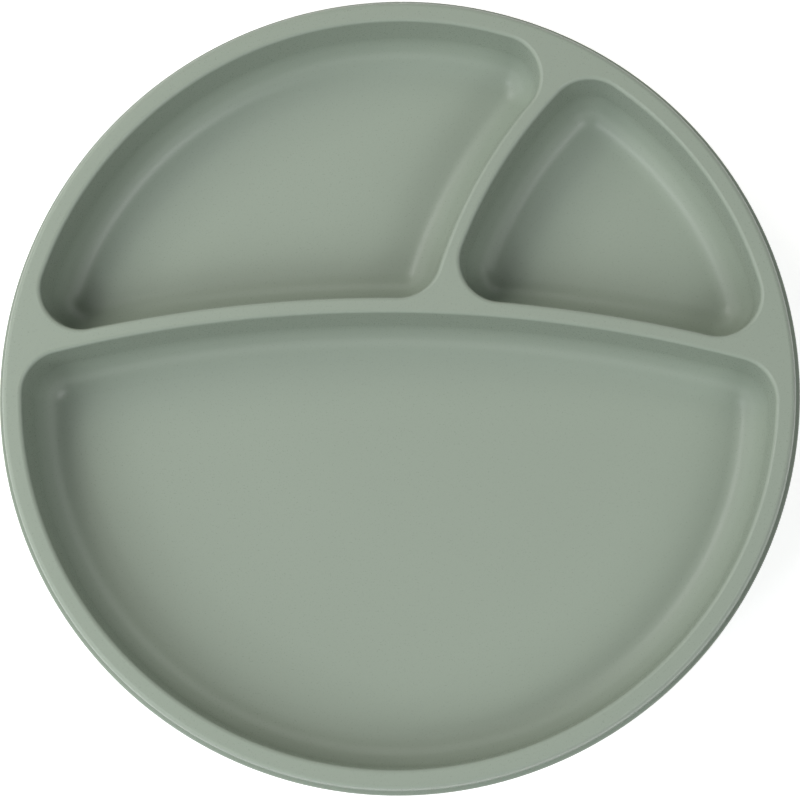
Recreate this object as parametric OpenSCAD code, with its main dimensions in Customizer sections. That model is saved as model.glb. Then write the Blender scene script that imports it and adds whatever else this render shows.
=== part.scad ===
// Divided silicone plate on a suction cup, in millimetres.
// The plate stands on z = 0, its axis is z, and +y is the back, away from the child.

/* [Tray] */
// Diameter at the parting ledge, the widest place
tray_d = 200; // [180:1:230]
// Depth of the compartments below the rim
tray_depth = 22; // [16:0.5:30]
// Thickness of the floor
floor_t = 3; // [2.4:0.1:5]
// Draft of every wall, in degrees
wall_draft = 4; // [2:0.5:8]
// Radius between a compartment's wall and its floor
floor_fillet = 9; // [6:0.1:10]
// How much larger a corner's radius is than the run of the wall and its fillet
corner_flat = 0.5; // [0.3:0.1:3]
// Rounding of the compartments' top edges
edge_round = 1.2; // [0.8:0.1:1.5]

/* [Rim] */
// Width of the rim, from the compartments' edges to its outer corner
rim_w = 4.9; // [4:0.1:7]
// Rounding of the rim's outer corner
rim_round = 1.2; // [0.8:0.1:1.6]
// Height of the rim's outer face, down to the parting ledge
rim_face_h = 5; // [3:0.5:8]
// Width of the ledge at the parting line
ledge_w = 1; // [0.6:0.1:1.5]
// Rounding of the ledge's edge
ledge_round = 0.3; // [0.2:0.05:0.5]

/* [Main divider] */
// Radius of its curve, seen from above
main_bow_r = 346; // [250:1:450]
// How far behind the middle of the plate its crown lies
main_crown_y = 21.6; // [15:0.1:30]
// Width of its top
main_w = 4; // [3.5:0.1:6]

/* [Small divider] */
// Radius of its curve, seen from above
small_bow_r = 118; // [100:1:140]
// How far right of the middle of the plate its crown lies
small_crown_x = 7; // [2:0.1:14]
// How far in front of the middle its crown lies
small_front_y = 2.5; // [-5:0.1:8]
// Width of its top
small_w = 3.9; // [3.5:0.1:6]

/* [Suction cup] */
// Diameter of the sealing lip
lip_d = 140; // [120:1:150]
// Width of the flat ring that seals on the table
seal_w = 9; // [5:0.5:14]
// Thickness of the lip at its edge
lip_t = 0.9; // [0.7:0.1:1.2]
// Height of the tray's underside above the table
foot_h = 9; // [8.5:0.5:12]
// Diameter of the hub
hub_d = 88; // [70:1:94]
// How deep the hub is seated in the tray
seat_depth = 1; // [0.6:0.1:1.4]
// Height of the air chamber under the hub
chamber_h = 4; // [3:0.1:4.4]
// Diameter of the air chamber's flat ceiling
chamber_d = 82; // [60:1:84]
// Height at which the skirt leaves the hub
skirt_root_h = 5.2; // [5.1:0.1:6]
// Radius between the hub and the skirt
skirt_fillet = 2.5; // [1:0.1:2.5]

/* [Release tab] */
// Length of the tab beyond the lip
tab_l = 20; // [16:0.5:24]
// Width of the tab
tab_w = 20; // [16:0.5:28]
// Thickness of the tab
tab_t = 2; // [1.6:0.1:2.4]
// Height of the tab above the table
tab_h = 0.3; // [0.2:0.1:0.5]
// Thickness of the web where the tab bends
web_t = 1; // [0.7:0.1:1.4]
// Length of the web
web_l = 2.5; // [1.5:0.1:4]
// Number of grip ribs
rib_n = 3; // [1:1:3]
// Width of a grip rib
rib_w = 1.4; // [1:0.1:2]
// Spacing of the grip ribs
rib_pitch = 3; // [2.4:0.1:3.2]
// Height of a grip rib
rib_h = 0.4; // [0.2:0.1:0.6]
// Distance of the ribs from the tab's tip and sides
rib_margin = 4.5; // [3:0.1:6]

/* [Clearances] */
// Around the hub in its seat
seat_gap = 0.3; // [0.2:0.05:0.5]
// Between the tab and the lip
tab_gap = 0.3; // [0.2:0.05:0.5]

/* [Hidden] */

silicone = [0.57, 0.63, 0.56];
arc_steps = 6;
edge_step = 6;
corner_steps = 8;
plan_fn = 128;
above = 0.4;

// Heights
floor_z = foot_h + floor_t;
rim_z = floor_z + tray_depth;
parting_z = rim_z - rim_face_h;

// Plan of the rim
tray_r = tray_d / 2;
wall_r = tray_r - ledge_w;
rim_r = wall_r - rim_face_h * tan(wall_draft);
inner_r = rim_r - rim_w;

// Horizontal run of a compartment's wall and fillet, and the corner that just takes it
wall_run = (tray_depth - floor_fillet * (1 - sin(wall_draft))) * tan(wall_draft);
wall_inset = wall_run + floor_fillet * cos(wall_draft);
corner_r = wall_inset + corner_flat;

// Circles in plan that bound the compartments: [centre, radius, side].
// Side is 1 where the compartment lies inside the circle and -1 where it lies outside.
main_c = [0, main_crown_y - main_bow_r];
small_c = [small_crown_x + small_bow_r, -small_front_y];
rim_edge = [[0, 0], inner_r, 1];
main_front = [main_c, main_bow_r - main_w / 2, 1];
main_back = [main_c, main_bow_r + main_w / 2, -1];
small_left = [small_c, small_bow_r + small_w / 2, -1];
small_right = [small_c, small_bow_r - small_w / 2, 1];

// Each compartment's edges in counterclockwise order, with the crossing to take after each edge
large_edges = [[rim_edge, 1], [main_front, 1]];
left_edges = [[rim_edge, -1], [main_back, 1], [small_left, -1]];
right_edges = [[rim_edge, 1], [small_right, -1], [main_back, -1]];

// Point where two circles cross, on the chosen side of the line between their centres
function crossing(c1, r1, c2, r2, side) =
    let (d = norm(c2 - c1),
         along = (r1 * r1 - r2 * r2 + d * d) / (2 * d),
         off = sqrt(r1 * r1 - along * along),
         dir = (c2 - c1) / d)
    c1 + along * dir + side * off * [-dir[1], dir[0]];

// Radius of an edge's circle after moving it into the compartment
function inset_r(edge, inset) = edge[1] - edge[2] * inset;

// Centre of the corner between two edges
function corner_c(a, b, side) =
    crossing(a[0], inset_r(a, corner_r), b[0], inset_r(b, corner_r), side);

function bearing(v) = atan2(v[1], v[0]);
function heading(a) = [cos(a), sin(a)];
function turn(from, to) = (to - from + 720) % 360;

// Points of an arc in the plane of a profile
function arc(centre, r, from, to, steps = arc_steps) =
    [for (i = [0 : steps]) let (a = from + (to - from) * i / steps) centre + r * [cos(a), sin(a)]];

// Half section of a compartment's side: inset from the top edge, and height.
// It runs from the floor up the fillet, the drafted wall and the rounded top edge.
round_end = 78;
fillet_c = [wall_inset, floor_z + floor_fillet];
round_tan = edge_round * tan((90 - wall_draft) / 2);
round_c = [-round_tan, rim_z - edge_round];
round_top = round_c + edge_round * [cos(round_end), sin(round_end)];
side_section = concat(
    arc(fillet_c, floor_fillet, 270, 180 + wall_draft),
    arc(round_c, edge_round, wall_draft, round_end, 3),
    [[round_top[0] - (rim_z + above - round_top[1]) / tan(90 - round_end), rim_z + above]]);

// Outline of a compartment, moved inwards: its edges and round corners, counterclockwise.
// Every inset gives as many points, so two outlines can be joined face by face.
function outline(edges, inset) =
    let (n = len(edges),
         corners = [for (i = [0 : n - 1])
             corner_c(edges[i][0], edges[(i + 1) % n][0], edges[i][1])])
    [for (i = [0 : n - 1])
        let (edge = edges[i][0],
             next = edges[(i + 1) % n][0],
             first = bearing(corners[(i + n - 1) % n] - edge[0]),
             last = bearing(corners[i] - edge[0]),
             sweep = edge[2] > 0 ? turn(first, last) : -turn(last, first),
             steps = ceil(abs(sweep) * PI / 180 * edge[1] / edge_step),
             corner_from = bearing(edge[2] * (corners[i] - edge[0])),
             corner_turn = turn(corner_from, bearing(next[2] * (corners[i] - next[0]))))
        each concat(
            [for (k = [0 : steps - 1])
                edge[0] + inset_r(edge, inset) * heading(first + sweep * k / steps)],
            [for (k = [0 : corner_steps - 1])
                corners[i] + (corner_r - inset) * heading(corner_from + corner_turn * k / corner_steps)])];

// Cutter for a compartment: one outline for each point of the side section, lofted from the floor up
module compartment(edges) {
    loops = [for (s = side_section) [for (p = outline(edges, s[0])) [p[0], p[1], s[1]]]];
    n = len(loops[0]);
    top = len(loops) - 1;
    polyhedron(
        [for (l = loops) each l],
        concat(
            [[for (i = [0 : n - 1]) i]],
            [for (l = [0 : top - 1]) for (i = [0 : n - 1]) let (j = (i + 1) % n) each
                [[l * n + i, (l + 1) * n + i, (l + 1) * n + j], [l * n + i, (l + 1) * n + j, l * n + j]]],
            [[for (i = [n - 1 : -1 : 0]) top * n + i]]));
}

// Outside of the tray: underside, bottom edge, drafted wall, parting ledge, rim
ledge_c = [tray_r - ledge_round, parting_z - ledge_round];
bottom_round = floor_fillet + floor_t;
bottom_in = bottom_round - ledge_round;
bottom_z = foot_h + bottom_round;
bottom_c = [ledge_c[0] - bottom_in * cos(wall_draft)
            - (ledge_c[1] + bottom_in * sin(wall_draft) - bottom_z) * tan(wall_draft), bottom_z];
rim_c = [rim_r - rim_round * tan((90 - wall_draft) / 2), rim_z - rim_round];
tray_section = concat(
    [[0, foot_h]],
    arc(bottom_c, bottom_round, 270, 360 - wall_draft),
    arc(ledge_c, ledge_round, -wall_draft, 90, 4),
    [[wall_r, parting_z]],
    arc(rim_c, rim_round, wall_draft, 90, 5),
    [[0, rim_z]]);

module divided_tray() {
    color(silicone)
        difference() {
            rotate_extrude($fn = plan_fn) polygon(tray_section);
            compartment(large_edges);
            compartment(left_edges);
            compartment(right_edges);
            hub_seat();
        }
}

// Seat for the hub in the underside
module hub_seat() {
    translate([0, 0, foot_h - above])
        cylinder(d = hub_d + 2 * seat_gap, h = seat_depth + above, $fn = plan_fn);
}

// Cup: chamber, flat seal, lip, sloping skirt, fillet and hub
hub_r = hub_d / 2;
lip_r = lip_d / 2;
lip_edge = lip_t / 4;
skirt_slope = atan((skirt_root_h - lip_t) / (lip_r - hub_r));
skirt_c = [hub_r + skirt_fillet,
           skirt_root_h + skirt_fillet * (1 / cos(skirt_slope) - tan(skirt_slope))];
cup_section = concat(
    [[0, chamber_h], [chamber_d / 2, chamber_h], [lip_r - seal_w, 0]],
    [[lip_r - lip_edge, 0], [lip_r, lip_edge], [lip_r, lip_t - lip_edge], [lip_r - lip_edge, lip_t]],
    arc(skirt_c, skirt_fillet, 270 - skirt_slope, 180, 5),
    [[hub_r, foot_h + seat_depth], [0, foot_h + seat_depth]]);

module suction_cup() {
    color(silicone * 0.94)
        rotate_extrude($fn = plan_fn) polygon(cup_section);
}

// Tab: a tongue that points to the back, thin at its root where it bends, with ribs across its top
tab_root_r = lip_r + tab_gap;
tab_tip_r = lip_r + tab_l;
rib_l = tab_w - 2 * rib_margin;

module tab_plan(from_r) {
    difference() {
        union() {
            translate([-tab_w / 2, 0]) square([tab_w, tab_tip_r - tab_w / 2]);
            translate([0, tab_tip_r - tab_w / 2]) circle(d = tab_w, $fn = 64);
        }
        circle(from_r, $fn = 2 * plan_fn);
    }
}

module release_tab() {
    color(silicone * 0.9)
        translate([0, 0, tab_h]) {
            linear_extrude(web_t) tab_plan(tab_root_r);
            linear_extrude(tab_t) tab_plan(tab_root_r + web_l);
            for (i = [0 : rib_n - 1])
                translate([-rib_l / 2, tab_tip_r - rib_margin - rib_w - i * rib_pitch, 0])
                    cube([rib_l, rib_w, tab_t + rib_h]);
        }
}

divided_tray();
suction_cup();
release_tab();
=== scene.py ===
"""Divided silicone plate on a suction cup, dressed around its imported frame."""

import math

import bmesh
import bpy
from bpy.props import FloatProperty, FloatVectorProperty, IntProperty, PointerProperty
from mathutils import Matrix, Vector
from mathutils.geometry import tessellate_polygon


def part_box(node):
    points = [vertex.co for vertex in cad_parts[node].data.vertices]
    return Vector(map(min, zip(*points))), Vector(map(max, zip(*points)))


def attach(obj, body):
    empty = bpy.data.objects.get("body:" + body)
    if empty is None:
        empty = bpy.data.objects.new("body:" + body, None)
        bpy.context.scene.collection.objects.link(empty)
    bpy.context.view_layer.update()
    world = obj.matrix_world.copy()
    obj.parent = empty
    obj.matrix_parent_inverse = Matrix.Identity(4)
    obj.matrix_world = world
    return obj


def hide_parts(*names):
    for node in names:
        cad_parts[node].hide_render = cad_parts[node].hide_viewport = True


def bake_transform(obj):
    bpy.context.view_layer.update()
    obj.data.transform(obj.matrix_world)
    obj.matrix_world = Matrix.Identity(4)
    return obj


bl_info = {
    "name": "Divided suction plate",
    "version": (1, 0, 0),
    "blender": (4, 5, 0),
    "location": "View3D > Sidebar > Plate",
    "description": "Makes a divided silicone plate, its suction cup and its release tab",
    "category": "Add Mesh",
}

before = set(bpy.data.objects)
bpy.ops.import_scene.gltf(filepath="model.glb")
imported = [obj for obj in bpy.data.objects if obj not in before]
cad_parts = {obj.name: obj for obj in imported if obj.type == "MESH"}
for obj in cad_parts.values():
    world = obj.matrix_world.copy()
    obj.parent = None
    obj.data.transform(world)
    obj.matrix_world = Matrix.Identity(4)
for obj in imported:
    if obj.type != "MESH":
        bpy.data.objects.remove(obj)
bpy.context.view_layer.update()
TRAY_LOW, TRAY_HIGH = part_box("divided_tray")
CUP_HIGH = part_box("suction_cup")[1]
TAB_LOW, TAB_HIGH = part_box("release_tab")

# Mesh points closer than this are merged
WELD = 0.000002


# Properties

def length(name, description, default):
    """A size in metres."""
    return FloatProperty(name=name, description=description, default=default, unit='LENGTH', precision=5)


def degrees(name, description, default):
    """An angle, given in degrees."""
    return FloatProperty(name=name, description=description, default=math.radians(default),
                         subtype='ANGLE', unit='ROTATION')


def fraction(name, description, default):
    """A value from 0 to 1."""
    return FloatProperty(name=name, description=description, default=default, subtype='FACTOR',
                         min=0.0, max=1.0)


def number(name, description, default):
    """A whole number."""
    return IntProperty(name=name, description=description, default=default)


def colour(name, description, default):
    """A linear colour."""
    return FloatVectorProperty(name=name, description=description, default=default, subtype='COLOR',
                               min=0.0, max=1.0)


class TraySizes(bpy.types.PropertyGroup):
    """Sizes of the tray's moulding."""
    radius: length("Radius", "Radius at the parting line", TRAY_HIGH[0])
    underside: length("Underside", "Height of the underside above the table", TRAY_LOW[2])
    rim_height: length("Rim height", "Height of the rim above the table", TRAY_HIGH[2])
    floor: length("Floor", "Thickness of the floor", 0.003)
    draft: degrees("Draft", "Draft of every wall", 4)
    floor_fillet: length("Floor fillet", "Radius between a wall and the floor", 0.009)
    corner_flat: length("Corner flat", "Extra radius of the corners", 0.0005)
    edge_round: length("Edge rounding", "Rounding of the compartments' top edges", 0.0012)
    rim_width: length("Rim width", "Width of the rim", 0.0049)
    rim_round: length("Rim rounding", "Rounding of the rim's outer corner", 0.0012)
    rim_face: length("Rim face", "Height of the rim's outer face", 0.005)
    ledge: length("Ledge", "Width of the ledge at the parting line", 0.001)
    ledge_round: length("Ledge rounding", "Rounding of the ledge's edge", 0.0003)
    main_bow: length("Main bow", "Radius of the main divider's curve", 0.346)
    main_crown: length("Main crown", "Place of the main divider's crown", 0.0216)
    main_width: length("Main width", "Width of the main divider's top", 0.004)
    small_bow: length("Small bow", "Radius of the small divider's curve", 0.118)
    small_crown: length("Small crown", "How far right the small divider's crown lies", 0.007)
    small_front: length("Small front", "How far to the front the small divider's crown lies", 0.0025)
    small_width: length("Small width", "Width of the small divider's top", 0.0039)
    seat_radius: length("Seat radius", "Radius of the hub's seat in the underside", 0.0443)
    seat_depth: length("Seat depth", "Depth of the hub's seat", 0.001)
    seat_round: length("Seat rounding", "Rounding of the seat's edges", 0.0003)
    edge_step: length("Edge step", "Spacing of mesh points along an edge", 0.0015)
    segments: number("Segments", "Mesh segments around the rim", 288)
    arc_steps: number("Arc steps", "Mesh steps in a fillet", 14)
    corner_steps: number("Corner steps", "Mesh steps in a corner", 24)


class CupSizes(bpy.types.PropertyGroup):
    """Sizes of the suction cup."""
    hub_radius: length("Hub radius", "Radius of the hub", 0.044)
    hub_top: length("Hub top", "Height of the hub's top", CUP_HIGH[2])
    lip_radius: length("Lip radius", "Radius of the sealing lip", CUP_HIGH[0])
    lip: length("Lip", "Thickness of the lip at its edge", 0.0009)
    seal_width: length("Seal width", "Width of the flat sealing ring", 0.009)
    chamber_height: length("Chamber height", "Height of the air chamber", 0.004)
    chamber_radius: length("Chamber radius", "Radius of the chamber's ceiling", 0.041)
    skirt_root: length("Skirt root", "Height at which the skirt leaves the hub", 0.0052)
    skirt_fillet: length("Skirt fillet", "Radius between hub and skirt", 0.0025)
    chamber_round: length("Chamber rounding", "Radius at the chamber's ceiling", 0.006)
    seal_round: length("Seal rounding", "Radius between chamber and sealing ring", 0.004)
    hub_round: length("Hub rounding", "Rounding of the hub's top edge", 0.0003)
    lip_round: fraction("Lip rounding", "Rounding of the lip's edge as a share of its thickness", 0.45)
    segments: number("Segments", "Mesh segments around the cup", 192)
    fillet_steps: number("Fillet steps", "Mesh steps in a rounded corner", 8)


class TabSizes(bpy.types.PropertyGroup):
    """Sizes of the release tab and its grip ribs."""
    width: length("Width", "Width of the tab", TAB_HIGH[0] - TAB_LOW[0])
    tip: length("Tip", "Distance of the tip from the plate's axis", TAB_HIGH[1])
    root: length("Root", "Distance of the root from the plate's axis, inside the lip", 0.0688)
    web_end: length("Web end", "Where the thin web ends", 0.0728)
    height: length("Height", "Height of the tab above the table", TAB_LOW[2])
    web: length("Web", "Thickness of the web that bends", 0.001)
    thickness: length("Thickness", "Thickness of the tab", 0.002)
    ramp: length("Ramp", "Length of the rise from web to tab", 0.0016)
    stations: number("Stations", "Mesh sections along the tab", 64)
    rib_count: number("Ribs", "Number of grip ribs", 3)
    rib_width: length("Rib width", "Width of a grip rib", 0.0014)
    rib_pitch: length("Rib pitch", "Spacing of the grip ribs", 0.003)
    rib_height: length("Rib height", "Height of a grip rib", 0.0004)
    rib_margin: length("Rib margin", "Distance of the ribs from the tip and the sides", 0.0045)


class Finishes(bpy.types.PropertyGroup):
    """Colours of the silicone and the stage."""
    tray: colour("Tray", "Sage-green silicone of the tray", (0.305, 0.355, 0.295))
    cup: colour("Cup", "Sage-green silicone of the cup and tab", (0.295, 0.343, 0.285))
    floor: colour("Floor", "Pale floor", (0.82, 0.82, 0.82))
    roughness: fraction("Roughness", "Roughness of the tray's silicone", 0.31)
    cup_roughness: fraction("Cup roughness", "Roughness of the cup's and the tab's silicone", 0.23)


class StageSizes(bpy.types.PropertyGroup):
    """Place and lens of the camera."""
    distance: length("Distance", "Camera's distance from the plate", 0.95)
    tilt: degrees("Tilt", "Camera's lean from the vertical", 8)
    lean: degrees("Lean direction", "Bearing that the camera leans to", -69)
    turn: degrees("Turn", "Turn of the view about the plate's axis", 1)
    span: length("Span", "Width of the view at the rim", 0.19857)
    aim: FloatVectorProperty(name="Aim", description="Point that the camera looks at",
                             default=(0.00081, -0.00237, 0.034), subtype='XYZ', unit='LENGTH')


# Profiles and outlines

def heading(angle):
    """Unit vector in plan at an angle."""
    return Vector((math.cos(angle), math.sin(angle)))


def bearing(vector):
    """Angle of a vector in plan."""
    return math.atan2(vector.y, vector.x)


def turn(start, end):
    """Counterclockwise angle from one bearing to another."""
    return (end - start) % math.tau


def left_of(direction):
    """Unit vector to the left of a direction in a profile's plane."""
    return Vector((-direction.y, direction.x))


def rounded_profile(corners, steps):
    """Points of a profile with rounded corners, each with the normal to the right of travel.

    A corner is (across, height, radius). The two ends are left out, so the profile runs from
    the first rounding to the last."""
    points = []
    places = [Vector(c[:2]) for c in corners]
    for before, here, after, corner in zip(places, places[1:], places[2:], corners[1:]):
        way_in = (here - before).normalized()
        way_out = (after - here).normalized()
        side = 1.0 if way_in.cross(way_out) > 0 else -1.0
        angle = way_in.angle(way_out)
        centre = here - way_in * corner[2] * math.tan(angle / 2) + left_of(way_in) * side * corner[2]
        for k in range(steps + 1):
            way = Matrix.Rotation(side * angle * k / steps, 2) @ way_in
            points.append((centre - left_of(way) * side * corner[2], -left_of(way)))
    return points


class Edge:
    """A circle in plan that bounds a compartment, which lies inside it (side 1) or outside (side -1)."""

    def __init__(self, centre, radius, side):
        self.centre = Vector(centre)
        self.radius = radius
        self.side = side

    def inset(self, amount):
        """Radius after moving the edge into the compartment."""
        return self.radius - self.side * amount


def crossing(a, b, inset, side):
    """Point where two edges cross after moving both inwards."""
    ra = a.inset(inset)
    rb = b.inset(inset)
    between = b.centre - a.centre
    along = (ra * ra - rb * rb + between.length_squared) / (2 * between.length)
    off = math.sqrt(ra * ra - along * along)
    way = between.normalized()
    return a.centre + way * along + left_of(way) * side * off


def outline(edges, corner_radius, inset, step, corner_steps):
    """Outline of a compartment moved inwards, as points with the direction into the compartment."""
    count = len(edges)
    corners = [crossing(edges[i][0], edges[(i + 1) % count][0], corner_radius, edges[i][1])
               for i in range(count)]
    points = []
    for i, (edge, _) in enumerate(edges):
        following = edges[(i + 1) % count][0]
        first = bearing(corners[i - 1] - edge.centre)
        last = bearing(corners[i] - edge.centre)
        sweep = turn(first, last) if edge.side > 0 else -turn(last, first)
        steps = math.ceil(abs(sweep) * edge.radius / step)
        for k in range(steps):
            way = heading(first + sweep * k / steps)
            points.append((edge.centre + way * edge.inset(inset), -way * edge.side))
        start = bearing((corners[i] - edge.centre) * edge.side)
        arc = turn(start, bearing((corners[i] - following.centre) * following.side))
        for k in range(corner_steps):
            way = heading(start + arc * k / corner_steps)
            points.append((corners[i] + way * (corner_radius - inset), -way))
    return points


class Skin:
    """Mesh under construction whose points carry their true normals."""

    def __init__(self):
        self.points = []
        self.normals = []
        self.faces = []

    def ring(self, points):
        """Adds points with normals and gives their indices."""
        first = len(self.points)
        for place, normal in points:
            self.points.append(tuple(place))
            self.normals.append(tuple(normal))
        return list(range(first, len(self.points)))

    def bridge(self, a, b):
        """Joins two closed rings by quads."""
        for i in range(len(a)):
            j = (i + 1) % len(a)
            self.faces.append((a[i], a[j], b[j], b[i]))

    def fan(self, centre, ring):
        """Closes a ring round one point."""
        for i in range(len(ring)):
            self.faces.append((centre, ring[(i + 1) % len(ring)], ring[i]))

    def fill(self, rings):
        """Fills a flat region that faces up, bounded by its first ring, with the others as holes."""
        order = [i for ring in rings for i in ring]
        loops = [[Vector(self.points[i]) for i in ring] for ring in rings]
        for a, b, c in tessellate_polygon(loops):
            face = [order[a], order[b], order[c]]
            pa, pb, pc = (Vector(self.points[i]) for i in face)
            if (pb - pa).cross(pc - pa).z < 0:
                face.reverse()
            self.faces.append(tuple(face))

    def make(self, name):
        """The finished object, smooth and with its true normals."""
        mesh = bpy.data.meshes.new(name)
        mesh.from_pydata(self.points, [], self.faces)
        mesh.shade_smooth()
        mesh.normals_split_custom_set_from_vertices(self.normals)
        return add_object(name, mesh)


def add_object(name, data):
    """Object at the origin, linked to the scene."""
    piece = bpy.data.objects.new(name, data)
    bpy.context.scene.collection.objects.link(piece)
    return piece


# Materials

MOTTLE_SCALE = 45.0
MOTTLE_SHARE = 0.01
GRAIN_SCALE = 2600.0
GRAIN_DEPTH = 0.00008
GRAIN_STRENGTH = 0.12
GRAIN_GLOSS = 0.05
SILICONE_IOR = 1.5


def silicone(name, tint, roughness):
    """Matte moulded silicone: fine blasted grain, slight mottling and a soft sheen."""
    material = bpy.data.materials.new(name)
    material.use_nodes = True
    nodes = material.node_tree.nodes
    link = material.node_tree.links.new
    shader = nodes["Principled BSDF"]
    place = nodes.new("ShaderNodeTexCoord")

    mottle = nodes.new("ShaderNodeTexNoise")
    mottle.inputs["Scale"].default_value = MOTTLE_SCALE
    mottle.inputs["Detail"].default_value = 4.0
    mottle.inputs["Roughness"].default_value = 0.55
    link(place.outputs["Object"], mottle.inputs["Vector"])
    shade = nodes.new("ShaderNodeMix")
    shade.data_type = 'RGBA'
    shade.inputs["A"].default_value = (*[c * (1 - MOTTLE_SHARE) for c in tint], 1.0)
    shade.inputs["B"].default_value = (*[c * (1 + MOTTLE_SHARE) for c in tint], 1.0)
    link(mottle.outputs["Fac"], shade.inputs["Factor"])
    link(shade.outputs["Result"], shader.inputs["Base Color"])

    grain = nodes.new("ShaderNodeTexNoise")
    grain.inputs["Scale"].default_value = GRAIN_SCALE
    grain.inputs["Detail"].default_value = 2.0
    link(place.outputs["Object"], grain.inputs["Vector"])
    gloss = nodes.new("ShaderNodeMapRange")
    gloss.inputs["From Min"].default_value = 0.3
    gloss.inputs["From Max"].default_value = 0.7
    gloss.inputs["To Min"].default_value = roughness - GRAIN_GLOSS
    gloss.inputs["To Max"].default_value = roughness + GRAIN_GLOSS
    link(grain.outputs["Fac"], gloss.inputs["Value"])
    link(gloss.outputs["Result"], shader.inputs["Roughness"])
    bump = nodes.new("ShaderNodeBump")
    bump.inputs["Strength"].default_value = GRAIN_STRENGTH
    bump.inputs["Distance"].default_value = GRAIN_DEPTH
    link(grain.outputs["Fac"], bump.inputs["Height"])
    link(bump.outputs["Normal"], shader.inputs["Normal"])

    shader.inputs["IOR"].default_value = SILICONE_IOR
    return material


def finish_piece(piece, material):
    """Gives a piece its material."""
    piece.data.materials.clear()
    piece.data.materials.append(material)


# Geometry Nodes

RIB_STATIONS = 33
RIB_SIDES = 20
RIB_END_POWER = 10.0


class Tree:
    """Geometry Nodes tree under construction, with named inputs."""

    def __init__(self, name):
        self.tree = bpy.data.node_groups.new(name, 'GeometryNodeTree')
        self.tree.is_modifier = True
        self.tree.interface.new_socket("Geometry", in_out='OUTPUT', socket_type='NodeSocketGeometry')
        self.tree.interface.new_socket("Geometry", in_out='INPUT', socket_type='NodeSocketGeometry')
        self.values = {}
        self.input = self.tree.nodes.new("NodeGroupInput")
        self.output = self.tree.nodes.new("NodeGroupOutput")

    def socket(self, name, kind, value):
        """Adds a named input and gives its output on the group's input node."""
        item = self.tree.interface.new_socket(name, in_out='INPUT', socket_type=kind)
        self.values[item.identifier] = value
        return self.input.outputs[name]

    def node(self, kind, settings=None, **links):
        """Adds a node, sets its properties and fills its inputs by name or by number."""
        node = self.tree.nodes.new(kind)
        for key, value in (settings or {}).items():
            setattr(node, key, value)
        for key, value in links.items():
            self.fill(node, key.replace("_", " "), value)
        return node

    def fill(self, node, key, value):
        """Links a socket to a node's input, or sets the input's value."""
        target = node.inputs[key]
        if isinstance(value, bpy.types.NodeSocket):
            self.tree.links.new(value, target)
        else:
            target.default_value = value

    def math(self, operation, a, b=0.0):
        """Math node's result."""
        node = self.node("ShaderNodeMath", {"operation": operation})
        self.fill(node, 0, a)
        self.fill(node, 1, b)
        return node.outputs[0]

    def point(self, x, y, z):
        """Vector from three numbers."""
        return self.node("ShaderNodeCombineXYZ", None, X=x, Y=y, Z=z).outputs[0]

    def finish(self, geometry):
        """Links the result to the group's output."""
        self.tree.links.new(geometry, self.output.inputs["Geometry"])

    def made(self, name, base):
        """Runs the tree on a mesh and gives the result as a plain mesh object."""
        maker = add_object(name + "_maker", base)
        modifier = maker.modifiers.new("Maker", 'NODES')
        modifier.node_group = self.tree
        for identifier, value in self.values.items():
            modifier[identifier] = value
        depsgraph = bpy.context.evaluated_depsgraph_get()
        mesh = bpy.data.meshes.new_from_object(maker.evaluated_get(depsgraph))
        mesh.name = name
        maker.modifiers.remove(modifier)
        bpy.data.objects.remove(maker)
        return add_object(name, mesh)


def revolve_tree(segments, fillet_steps, material):
    """Tree that rounds a profile's corners by their own radius and turns it about the z axis."""
    t = Tree("Revolve profile")
    around = t.socket("Segments", 'NodeSocketInt', segments)
    steps = t.socket("Fillet steps", 'NodeSocketInt', fillet_steps)
    finish = t.socket("Material", 'NodeSocketMaterial', material)
    curve = t.node("GeometryNodeMeshToCurve", None, Mesh=t.input.outputs["Geometry"])
    radius = t.node("GeometryNodeInputNamedAttribute", {"data_type": 'FLOAT'}, Name="round")
    fillet = t.node("GeometryNodeFilletCurve", {"mode": 'POLY'}, Curve=curve.outputs[0],
                    Radius=radius.outputs["Attribute"], Count=steps)
    count = t.node("GeometryNodeAttributeDomainSize", {"component": 'CURVE'}, Geometry=fillet.outputs[0])
    rows = count.outputs["Point Count"]
    grid = t.node("GeometryNodeMeshGrid", None, Vertices_X=rows, Vertices_Y=t.math('ADD', around, 1.0))
    place = t.node("ShaderNodeSeparateXYZ", None, Vector=t.node("GeometryNodeInputPosition").outputs[0])
    row = t.math('ROUND', t.math('MULTIPLY', t.math('ADD', place.outputs["X"], 0.5),
                                 t.math('SUBTRACT', rows, 1.0)))
    sample = t.node("GeometryNodeSampleIndex", {"data_type": 'FLOAT_VECTOR', "domain": 'POINT'},
                    Geometry=fillet.outputs[0],
                    Value=t.node("GeometryNodeInputPosition").outputs[0], Index=row)
    section = t.node("ShaderNodeSeparateXYZ", None, Vector=sample.outputs["Value"])
    angle = t.math('MULTIPLY', t.math('ADD', place.outputs["Y"], 0.5), math.tau)
    turned = t.point(t.math('MULTIPLY', section.outputs["X"], t.math('COSINE', angle)),
                     t.math('MULTIPLY', section.outputs["X"], t.math('SINE', angle)),
                     section.outputs["Z"])
    moved = t.node("GeometryNodeSetPosition", None, Geometry=grid.outputs["Mesh"], Position=turned)
    closed = t.node("GeometryNodeMergeByDistance", None, Geometry=moved.outputs[0], Distance=WELD)
    real = t.node("GeometryNodeRealizeInstances", None, Geometry=closed.outputs[0])
    smooth = t.node("GeometryNodeSetShadeSmooth", None, Geometry=real.outputs[0])
    coated = t.node("GeometryNodeSetMaterial", None, Geometry=smooth.outputs[0], Material=finish)
    t.finish(coated.outputs[0])
    return t


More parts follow.
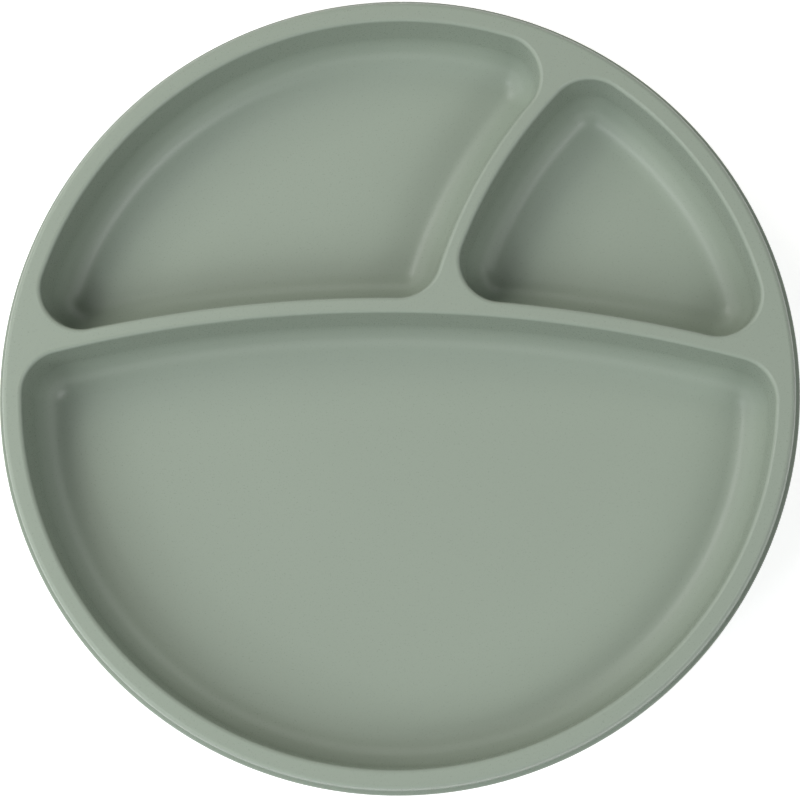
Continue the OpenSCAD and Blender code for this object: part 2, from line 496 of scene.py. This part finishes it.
def rib_tree(sizes, first, top, material):
    """Tree that sets a row of rounded ribs along the tab."""
    t = Tree("Grip ribs")
    count = t.socket("Ribs", 'NodeSocketInt', sizes.rib_count)
    pitch = t.socket("Pitch", 'NodeSocketFloat', sizes.rib_pitch)
    width = t.socket("Width", 'NodeSocketFloat', sizes.rib_width)
    height = t.socket("Height", 'NodeSocketFloat', sizes.rib_height)
    span = t.socket("Length", 'NodeSocketFloat', sizes.width - 2 * sizes.rib_margin)
    start = t.socket("First rib", 'NodeSocketFloat', first)
    level = t.socket("Level", 'NodeSocketFloat', top)
    finish = t.socket("Material", 'NodeSocketMaterial', material)
    half = t.math('MULTIPLY', span, 0.5)
    line = t.node("GeometryNodeCurvePrimitiveLine", None,
                  Start=t.point(t.math('MULTIPLY', half, -1.0), 0.0, 0.0), End=t.point(half, 0.0, 0.0))
    fine = t.node("GeometryNodeResampleCurve", None, Curve=line.outputs[0], Count=RIB_STATIONS)
    # The rib's thickness follows a superellipse, kept just above zero at its ends
    along = t.node("GeometryNodeSplineParameter").outputs["Factor"]
    off = t.math('ABSOLUTE', t.math('SUBTRACT', t.math('MULTIPLY', along, 2.0), 1.0))
    taper = t.math('SQRT', t.math('SUBTRACT', 1.001, t.math('POWER', off, RIB_END_POWER)))
    shaped = t.node("GeometryNodeSetCurveRadius", None, Curve=fine.outputs[0],
                    Radius=t.math('MULTIPLY', taper, t.math('MULTIPLY', width, 0.5)))
    circle = t.node("GeometryNodeCurvePrimitiveCircle", None, Resolution=RIB_SIDES, Radius=1.0)
    bar = t.node("GeometryNodeCurveToMesh", None, Curve=shaped.outputs[0], Profile_Curve=circle.outputs[0],
                 Scale=t.node("GeometryNodeInputRadius").outputs[0], Fill_Caps=True)
    flat = t.node("GeometryNodeTransform", None, Geometry=bar.outputs[0],
                  Scale=t.point(1.0, 1.0, t.math('DIVIDE', t.math('MULTIPLY', height, 2.0), width)))
    row = t.node("GeometryNodeMeshLine", None, Count=count, Start_Location=t.point(0.0, start, level),
                 Offset=t.point(0.0, t.math('MULTIPLY', pitch, -1.0), 0.0))
    copies = t.node("GeometryNodeInstanceOnPoints", None, Points=row.outputs[0], Instance=flat.outputs[0])
    real = t.node("GeometryNodeRealizeInstances", None, Geometry=copies.outputs[0])
    smooth = t.node("GeometryNodeSetShadeSmooth", None, Geometry=real.outputs[0])
    coated = t.node("GeometryNodeSetMaterial", None, Geometry=smooth.outputs[0], Material=finish)
    t.finish(coated.outputs[0])
    return t


# Pieces

def compartments(s):
    """The three compartments: each edge with the crossing to take after it."""
    inner = s.radius - s.ledge - s.rim_face * math.tan(s.draft) - s.rim_width
    main = (0.0, s.main_crown - s.main_bow)
    small = (s.small_crown + s.small_bow, -s.small_front)
    rim = Edge((0.0, 0.0), inner, 1)
    main_front = Edge(main, s.main_bow - s.main_width / 2, 1)
    main_back = Edge(main, s.main_bow + s.main_width / 2, -1)
    small_left = Edge(small, s.small_bow + s.small_width / 2, -1)
    small_right = Edge(small, s.small_bow - s.small_width / 2, 1)
    return [[(rim, 1), (main_front, 1)],
            [(rim, -1), (main_back, 1), (small_left, -1)],
            [(rim, 1), (small_right, -1), (main_back, -1)]]


def tray_outside(s):
    """Profile of the tray's outside, from the hub's seat round the wall to the rim's land."""
    wall = s.radius - s.ledge
    parting_z = s.rim_height - s.rim_face
    slope = math.tan(s.draft)
    corner = s.radius + s.ledge_round * (slope + 1 / math.cos(s.draft) - 1)
    seat = s.underside + s.seat_depth
    return rounded_profile([
        (0.0, seat, 0.0),
        (s.seat_radius, seat, s.seat_round),
        (s.seat_radius, s.underside, s.seat_round),
        (corner - (parting_z - s.underside) * slope, s.underside, s.floor_fillet + s.floor),
        (corner, parting_z, s.ledge_round),
        (wall, parting_z, s.ledge_round / 2),
        (wall - s.rim_face * slope, s.rim_height, s.rim_round),
        (0.0, s.rim_height, 0.0)], s.arc_steps)


class PLATE_OT_make_tray(bpy.types.Operator):
    """Make the tray with its three compartments"""
    bl_idname = "plate.make_tray"
    bl_label = "Make tray"

    def execute(self, context):
        s = context.scene.plate_tray
        skin = Skin()
        ways = [heading(math.tau * i / s.segments) for i in range(s.segments)]
        rings = [skin.ring([((*(w * p.x), p.y), (*(w * n.x), n.y)) for w in ways])
                 for p, n in tray_outside(s)]
        pole = skin.ring([((0.0, 0.0, s.underside + s.seat_depth), (0.0, 0.0, -1.0))])
        skin.fan(pole[0], rings[0])
        for a, b in zip(rings, rings[1:]):
            skin.bridge(a, b)

        depth = s.rim_height - s.underside - s.floor
        floor_z = s.rim_height - depth
        run = (depth - s.floor_fillet * (1 - math.sin(s.draft))) * math.tan(s.draft)
        corner = run + s.floor_fillet * math.cos(s.draft) + s.corner_flat
        section = rounded_profile([
            (2 * corner, floor_z, 0.0),
            (depth * math.tan(s.draft), floor_z, s.floor_fillet),
            (0.0, s.rim_height, s.edge_round),
            (-corner, s.rim_height, 0.0)], s.arc_steps)
        land = [rings[-1]]
        for edges in compartments(s):
            loops = []
            for p, n in section:
                points = outline(edges, corner, p.x, s.edge_step, s.corner_steps)
                loops.append(skin.ring([((*at, p.y), (*(into * n.x), n.y)) for at, into in points]))
            for a, b in zip(loops, loops[1:]):
                skin.bridge(b, a)
            skin.fill([loops[0]])
            land.append(loops[-1])
        skin.fill(land)

        tray = skin.make("tray_moulding")
        look = context.scene.plate_finish
        finish_piece(tray, silicone("Tray silicone", look.tray, look.roughness))
        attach(tray, "tray")
        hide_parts("divided_tray")
        return {'FINISHED'}


class PLATE_OT_make_cup(bpy.types.Operator):
    """Make the suction cup"""
    bl_idname = "plate.make_cup"
    bl_label = "Make suction cup"

    def execute(self, context):
        s = context.scene.plate_cup
        look = context.scene.plate_finish
        finish = silicone("Cup silicone", look.cup, look.cup_roughness)
        edge = s.lip * s.lip_round
        corners = [
            (0.0, s.chamber_height, 0.0),
            (s.chamber_radius, s.chamber_height, s.chamber_round),
            (s.lip_radius - s.seal_width, 0.0, s.seal_round),
            (s.lip_radius, 0.0, edge),
            (s.lip_radius, s.lip, edge),
            (s.hub_radius, s.skirt_root, s.skirt_fillet),
            (s.hub_radius, s.hub_top, s.hub_round),
            (0.0, s.hub_top, 0.0)]
        profile = bpy.data.meshes.new("cup_profile")
        profile.from_pydata([(r, 0.0, z) for r, z, _ in corners],
                            [(i, i + 1) for i in range(len(corners) - 1)], [])
        radii = profile.attributes.new("round", 'FLOAT', 'POINT')
        for item, corner in zip(radii.data, corners):
            item.value = corner[2]
        cup = revolve_tree(s.segments, s.fillet_steps, finish).made("suction_cup_moulding", profile)
        point_outwards(cup.data)
        finish_piece(cup, finish)
        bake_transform(cup)
        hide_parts("suction_cup")
        return {'FINISHED'}


def join_rings(shell, rings):
    """Joins closed rings of points by quads, one after another."""
    for a, b in zip(rings, rings[1:]):
        for i in range(len(a)):
            j = (i + 1) % len(a)
            shell.faces.new((a[i], a[j], b[j], b[i]))


def point_outwards(mesh):
    """Turns a closed mesh's faces outwards."""
    shell = bmesh.new()
    shell.from_mesh(mesh)
    bmesh.ops.recalc_face_normals(shell, faces=shell.faces)
    shell.to_mesh(mesh)
    shell.free()


def smooth_rise(value):
    """Rises smoothly from 0 to 1."""
    value = min(max(value, 0.0), 1.0)
    return value * value * (3.0 - 2.0 * value)


TAB_CORNER = 0.32
TAB_CORNER_STEPS = 5


def tab_section(y, s):
    """Closed section of the tab at a distance from the plate's axis."""
    half = s.width / 2
    past = y - (s.tip - half)
    reach = half if past <= 0 else math.sqrt(max(half * half - past * past, 0.0))
    depth = s.web + (s.thickness - s.web) * smooth_rise((y - s.web_end + s.ramp) / s.ramp)
    nose = min(1.0, reach / (depth / 2))
    middle = s.height + depth / 2
    rise = depth / 2 * math.sqrt(max(1.0 - (1.0 - nose) ** 2, 0.0))
    corner = min(depth * TAB_CORNER, reach, rise)
    points = []
    for cx, cz, start in ((1, 1, 0.0), (-1, 1, 0.5), (-1, -1, 1.0), (1, -1, 1.5)):
        for k in range(TAB_CORNER_STEPS + 1):
            way = heading((start + k / (2 * TAB_CORNER_STEPS)) * math.pi) * corner
            x = cx * (reach - corner) + way.x
            z = middle + cz * (rise - corner) + way.y
            points.append((x, y, z))
    return points


class PLATE_OT_make_tab(bpy.types.Operator):
    """Make the release tab, with its thin web by the lip"""
    bl_idname = "plate.make_tab"
    bl_label = "Make release tab"

    def execute(self, context):
        s = context.scene.plate_tab
        span = s.tip - s.root
        shell = bmesh.new()
        rings = []
        for k in range(s.stations):
            y = s.root + span * math.sin(0.5 * math.pi * k / s.stations)
            rings.append([shell.verts.new(p) for p in tab_section(y, s)])
        join_rings(shell, rings)
        shell.faces.new(rings[0])
        shell.faces.new(rings[-1])
        bmesh.ops.remove_doubles(shell, verts=shell.verts, dist=WELD)
        bmesh.ops.recalc_face_normals(shell, faces=shell.faces)
        mesh = bpy.data.meshes.new("release_tab_tongue")
        shell.to_mesh(mesh)
        shell.free()
        mesh.shade_smooth()
        tab = add_object("release_tab_tongue", mesh)
        finish = bpy.data.materials["Cup silicone"]
        finish_piece(tab, finish)
        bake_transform(tab)
        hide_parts("release_tab")
        return {'FINISHED'}


class PLATE_OT_make_ribs(bpy.types.Operator):
    """Make the grip ribs across the tab"""
    bl_idname = "plate.make_ribs"
    bl_label = "Make grip ribs"

    def execute(self, context):
        s = context.scene.plate_tab
        finish = bpy.data.materials["Cup silicone"]
        first = s.tip - s.rib_margin - s.rib_width / 2
        base = bpy.data.meshes.new("rib_base")
        ribs = rib_tree(s, first, s.height + s.thickness, finish).made("grip_ribs", base)
        finish_piece(ribs, finish)
        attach(ribs, "tab")
        return {'FINISHED'}


# Stage

WARM = (1.0, 0.95, 0.85)
PLAIN = (1.0, 1.0, 1.0)
COOL = (0.95, 0.98, 1.0)
WHITE = (1.0, 1.0, 1.0, 1.0)
SOFTBOX = (0.4, 0.4)
STRIP = (0.4, 0.25)
LAMP_DISTANCE = 1.1
WORLD_LIGHT = 0.02
SENSOR_WIDTH = 36.0

# Radius and height of the floor's edge and of the backdrop's rings
STUDIO = ((2.6, -0.0003), (2.85, 0.06), (3.0, 0.3), (3.0, 2.4))
STUDIO_SIDES = 96

# Near the plate the lamps light the floor, so it needs less white of its own, and it glows a little
LIT_WHITE = 0.32
FLOOR_GLOW = 0.3
NEAR_REACH = 0.3
FAR_REACH = 1.2

# Name, bearing, angle from the vertical, size, power, tint, seen in reflections
LAMPS = (
    ("top_softbox", 110, 12, (0.5, 0.5), 0.3, PLAIN, True),
    ("left_back_softbox", 135, 45, SOFTBOX, 2.6, WARM, False),
    ("left_softbox", 180, 45, SOFTBOX, 1.9, PLAIN, False),
    ("left_front_softbox", 225, 45, SOFTBOX, 3.0, COOL, False),
    ("right_front_softbox", 315, 45, SOFTBOX, 1.7, COOL, False),
    ("right_lamp", 0, 50, SOFTBOX, 0.9, PLAIN, False),
    ("low_front_lamp", 225, 62, SOFTBOX, 1.8, COOL, False),
    ("low_left_lamp", 180, 62, SOFTBOX, 0.9, PLAIN, False),
    ("low_back_lamp", 90, 62, SOFTBOX, 0.5, WARM, False),
    ("left_strip", 150, 34, STRIP, 1.5, PLAIN, True),
    ("front_left_strip", 207, 32, STRIP, 1.6, COOL, True),
    ("right_strip", 332, 37, STRIP, 1.3, PLAIN, True),
    ("front_right_strip", 308, 33, (0.3, 0.25), 0.5, COOL, True))


def lamp(name, bearing_deg, zenith_deg, size, power, tint, shines, aim):
    """Soft lamp that faces the plate, by its bearing and its angle from the vertical."""
    data = bpy.data.lights.new(name, 'AREA')
    data.shape = 'RECTANGLE'
    data.size, data.size_y = size
    data.energy = power
    data.color = tint
    light = add_object(name, data)
    zenith = math.radians(zenith_deg)
    flat = heading(math.radians(bearing_deg)) * math.sin(zenith)
    back = Vector((flat.x, flat.y, math.cos(zenith)))
    light.location = aim + back * LAMP_DISTANCE
    light.rotation_euler = back.to_track_quat('Z', 'Y').to_euler()
    light.visible_glossy = shines


def sum_node(tree, operation, *values):
    """Math node whose inputs are sockets or plain numbers."""
    node = tree.nodes.new("ShaderNodeMath")
    node.operation = operation
    for slot, value in zip(node.inputs, values):
        if isinstance(value, float):
            slot.default_value = value
        else:
            tree.links.new(value, slot)
    return node.outputs[0]


def pale_studio(tint):
    """Floor and backdrop that are seen as white.

    Near the plate the floor is painted, takes the lamps' light and shadows, and glows a little."""
    material = bpy.data.materials.new("Pale studio")
    material.use_nodes = True
    material.cycles.emission_sampling = 'NONE'
    tree = material.node_tree
    shader = tree.nodes["Principled BSDF"]
    shader.inputs["Roughness"].default_value = 0.9
    shader.inputs["Emission Color"].default_value = WHITE
    place = tree.nodes.new("ShaderNodeTexCoord")
    reach = tree.nodes.new("ShaderNodeVectorMath")
    reach.operation = 'LENGTH'
    tree.links.new(place.outputs["Object"], reach.inputs[0])
    near = tree.nodes.new("ShaderNodeMapRange")
    near.inputs["From Min"].default_value = FAR_REACH
    near.inputs["From Max"].default_value = NEAR_REACH
    tree.links.new(reach.outputs["Value"], near.inputs["Value"])
    paint = tree.nodes.new("ShaderNodeVectorMath")
    paint.operation = 'SCALE'
    paint.inputs[0].default_value = tint
    tree.links.new(near.outputs["Result"], paint.inputs["Scale"])
    tree.links.new(paint.outputs["Vector"], shader.inputs["Base Color"])
    path = tree.nodes.new("ShaderNodeLightPath")
    seen = sum_node(tree, 'ADD', path.outputs["Is Camera Ray"], path.outputs["Is Glossy Ray"])
    seen = sum_node(tree, 'ADD', seen, path.outputs["Is Transmission Ray"])
    white = sum_node(tree, 'MULTIPLY_ADD', near.outputs["Result"], LIT_WHITE - 1.0, 1.0)
    glow = sum_node(tree, 'MULTIPLY', near.outputs["Result"], FLOOR_GLOW)
    tree.links.new(sum_node(tree, 'MULTIPLY_ADD', seen, white, glow), shader.inputs["Emission Strength"])
    return material


class PLATE_OT_make_stage(bpy.types.Operator):
    """Make the floor, the lamps, the world and the camera"""
    bl_idname = "plate.make_stage"
    bl_label = "Make stage"

    def execute(self, context):
        s = context.scene.plate_stage
        sweep = bmesh.new()
        rings = []
        ways = [heading(math.tau * i / STUDIO_SIDES) for i in range(STUDIO_SIDES)]
        for radius, height in STUDIO:
            rings.append([sweep.verts.new((*(way * radius), height)) for way in ways])
        sweep.faces.new(rings[0])
        join_rings(sweep, rings[::-1])
        mesh = bpy.data.meshes.new("studio")
        sweep.to_mesh(mesh)
        sweep.free()
        mesh.shade_smooth()
        mesh.materials.append(pale_studio(context.scene.plate_finish.floor))
        add_object("studio", mesh)

        aim = Vector(s.aim)
        for row in LAMPS:
            lamp(*row, aim)

        world = bpy.data.worlds.new("Studio")
        context.scene.world = world
        world.use_nodes = True
        sky = world.node_tree.nodes["Background"]
        sky.inputs["Color"].default_value = WHITE
        sky.inputs["Strength"].default_value = WORLD_LIGHT

        lens = bpy.data.cameras.new("Camera")
        lens.sensor_width = SENSOR_WIDTH
        lens.lens = lens.sensor_width * s.distance / s.span
        lens.clip_start = 0.01
        camera = add_object("Camera", lens)
        lean = heading(s.lean) * math.sin(s.tilt)
        back = Vector((lean.x, lean.y, math.cos(s.tilt)))
        ahead = heading(s.turn + math.pi / 2)
        right = Vector((ahead.x, ahead.y, 0.0)).cross(back).normalized()
        up = back.cross(right)
        camera.matrix_world = Matrix.Translation(aim + back * s.distance) @ Matrix(
            (right, up, back)).transposed().to_4x4()
        context.scene.camera = camera
        context.scene.view_settings.view_transform = 'Standard'
        return {'FINISHED'}


class PLATE_PT_panel(bpy.types.Panel):
    """Sidebar panel that makes the plate piece by piece"""
    bl_idname = "PLATE_PT_panel"
    bl_label = "Divided suction plate"
    bl_space_type = 'VIEW_3D'
    bl_region_type = 'UI'
    bl_category = "Plate"

    def draw(self, context):
        for operator in OPERATORS:
            self.layout.operator(operator.bl_idname)


OPERATORS = (PLATE_OT_make_tray, PLATE_OT_make_cup, PLATE_OT_make_tab, PLATE_OT_make_ribs,
             PLATE_OT_make_stage)
GROUPS = {"plate_tray": TraySizes, "plate_cup": CupSizes, "plate_tab": TabSizes,
          "plate_finish": Finishes, "plate_stage": StageSizes}


def register():
    """Registers the classes and puts the properties on the scene."""
    for group in GROUPS.values():
        bpy.utils.register_class(group)
    for operator in OPERATORS:
        bpy.utils.register_class(operator)
    bpy.utils.register_class(PLATE_PT_panel)
    for name, group in GROUPS.items():
        setattr(bpy.types.Scene, name, PointerProperty(type=group))


def unregister():
    """Takes the properties and the classes away again."""
    for name in GROUPS:
        delattr(bpy.types.Scene, name)
    bpy.utils.unregister_class(PLATE_PT_panel)
    for operator in reversed(OPERATORS):
        bpy.utils.unregister_class(operator)
    for group in reversed(list(GROUPS.values())):
        bpy.utils.unregister_class(group)


def main():
    """Makes every piece and the stage."""
    register()
    bpy.ops.plate.make_tray()
    bpy.ops.plate.make_cup()
    bpy.ops.plate.make_tab()
    bpy.ops.plate.make_ribs()
    bpy.ops.plate.make_stage()
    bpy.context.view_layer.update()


if __name__ == "__main__":
    main()
